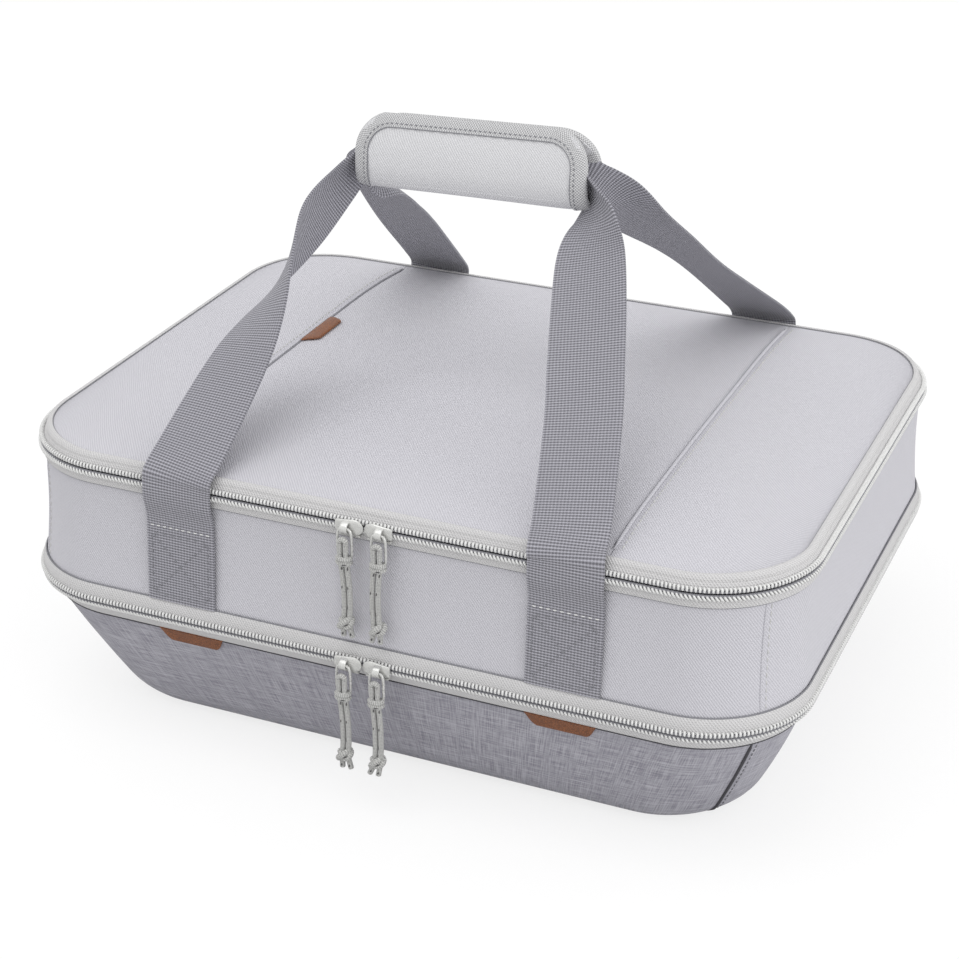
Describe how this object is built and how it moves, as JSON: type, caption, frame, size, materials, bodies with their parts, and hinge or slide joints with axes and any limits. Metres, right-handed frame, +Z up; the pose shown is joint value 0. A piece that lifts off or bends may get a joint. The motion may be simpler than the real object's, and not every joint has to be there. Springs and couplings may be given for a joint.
{
  "type": "casserole carrier",
  "caption": "Insulated soft-sided casserole carrier with two zipped decks, a tapered tub, a hinged lid and webbing handles joined in a padded wrap grip.",
  "frame": {"origin": "middle of the flat base, on the surface that the carrier stands on", "axes": "+X along the front to the right, -Y out of the front, +Z up"},
  "size_m": [0.4244, 0.3362, 0.31],
  "materials": {
    "heather_fabric": "slubby heather weave, matt",
    "pale_twill": "fine light-grey twill, matt",
    "insulation_foam": "white closed-cell foam",
    "liner_film": "smooth wipe-clean liner film",
    "zip_tape": "woven zip tape and binding",
    "zip_coil": "glossy coil teeth",
    "webbing": "ribbed mid-grey webbing",
    "brown_leather": "smooth brown leather",
    "slider_metal": "light-grey painted metal",
    "pull_cord": "braided cord with dark flecks",
    "hook_and_loop": "hook and loop tape"
  },
  "bodies": {
    "tub": {"tub_base": "heather_fabric", "tub_wall": "heather_fabric", "tub_foam_base": "insulation_foam", "tub_foam_wall": "insulation_foam", "tub_lining": "liner_film", "tub_zip_tape": "zip_tape", "tub_zip_coil": "zip_coil", "deck_hinge_gusset": "zip_tape", "tub_tab_left": "brown_leather", "tub_tab_right": "brown_leather"},
    "deck": {"deck_band": "pale_twill", "deck_foam_wall": "insulation_foam", "deck_under_lining": "liner_film", "deck_floor_foam": "insulation_foam", "deck_lining": "liner_film", "deck_low_zip_tape": "zip_tape", "deck_low_zip_coil": "zip_coil", "deck_top_zip_tape": "zip_tape", "deck_top_zip_coil": "zip_coil", "lid_hinge_gusset": "zip_tape"},
    "lid": {"lid_zip_tape": "zip_tape", "lid_zip_coil": "zip_coil", "lid_left_panel": "pale_twill", "lid_centre_panel": "pale_twill", "lid_right_panel": "pale_twill", "lid_foam": "insulation_foam", "lid_lining": "liner_film", "lid_rim_binding": "zip_tape", "lid_tab": "brown_leather"},
    "front_handle": {"front_strap": "webbing", "grip_front_pad": "pale_twill", "grip_front_binding": "zip_tape", "grip_loop_strip": "hook_and_loop"},
    "grip_flap": {"grip_flap_pad": "pale_twill", "grip_flap_binding": "zip_tape", "grip_hook_strip": "hook_and_loop"},
    "rear_handle": {"rear_strap": "webbing"},
    "top_left_slider": {"top_left_slider": "slider_metal"},
    "top_left_pull": {"top_left_bail": "slider_metal", "top_left_cord": "pull_cord"},
    "top_right_slider": {"top_right_slider": "slider_metal"},
    "top_right_pull": {"top_right_bail": "slider_metal", "top_right_cord": "pull_cord"},
    "low_left_slider": {"low_left_slider": "slider_metal"},
    "low_left_pull": {"low_left_bail": "slider_metal", "low_left_cord": "pull_cord"},
    "low_right_slider": {"low_right_slider": "slider_metal"},
    "low_right_pull": {"low_right_bail": "slider_metal", "low_right_cord": "pull_cord"}
  },
  "joints": [
    {"name": "deck_hinge", "type": "hinge", "parent": "tub", "child": "deck", "pos_m": [0, 0.1637, 0.0785], "axis": [-1, 0, 0], "range_deg": [0, 85]},
    {"name": "lid_hinge", "type": "hinge", "parent": "deck", "child": "lid", "pos_m": [0, 0.1575, 0.1515], "axis": [-1, 0, 0], "range_deg": [0, 95]},
    {"name": "front_handle_swing", "type": "hinge", "parent": "deck", "child": "front_handle", "pos_m": [0, -0.15661, 0.129], "axis": [1, 0, 0], "range_deg": [0, 152], "deforming": ["front_strap"]},
    {"name": "rear_handle_swing", "type": "hinge", "parent": "deck", "child": "rear_handle", "pos_m": [0, 0.15661, 0.129], "axis": [-1, 0, 0], "range_deg": [0, 62], "deforming": ["rear_strap"]},
    {"name": "grip_flap_hinge", "type": "hinge", "parent": "front_handle", "child": "grip_flap", "pos_m": [-0.0096, 0, 0.2686], "axis": [-1, 0, 0], "range_deg": [0, 120]},
    {"name": "top_left_slide", "type": "slide", "parent": "deck", "child": "top_left_slider", "axis": [-1, 0, 0], "range_m": [0, 0.058]},
    {"name": "top_left_pull_swing", "type": "hinge", "parent": "top_left_slider", "child": "top_left_pull", "pos_m": [-0.009, -0.16132, 0.1515], "axis": [-1, 0, 0], "range_deg": [0, 120]},
    {"name": "top_right_slide", "type": "slide", "parent": "deck", "child": "top_right_slider", "axis": [1, 0, 0], "range_m": [0, 0.058]},
    {"name": "top_right_pull_swing", "type": "hinge", "parent": "top_right_slider", "child": "top_right_pull", "pos_m": [0.009, -0.16132, 0.1515], "axis": [-1, 0, 0], "range_deg": [0, 120]},
    {"name": "low_left_slide", "type": "slide", "parent": "tub", "child": "low_left_slider", "axis": [-1, 0, 0], "range_m": [0, 0.058]},
    {"name": "low_left_pull_swing", "type": "hinge", "parent": "low_left_slider", "child": "low_left_pull", "pos_m": [-0.009, -0.1671, 0.0785], "axis": [-1, 0, 0], "range_deg": [0, 120]},
    {"name": "low_right_slide", "type": "slide", "parent": "tub", "child": "low_right_slider", "axis": [1, 0, 0], "range_m": [0, 0.058]},
    {"name": "low_right_pull_swing", "type": "hinge", "parent": "low_right_slider", "child": "low_right_pull", "pos_m": [0.009, -0.1671, 0.0785], "axis": [-1, 0, 0], "range_deg": [0, 120]}
  ],
  "couplings": [
    {"joint": "front_handle_swing", "follows": "lid_hinge", "ratio": 1.6},
    {"joint": "rear_handle_swing", "follows": "lid_hinge", "ratio": 0.65}
  ]
}
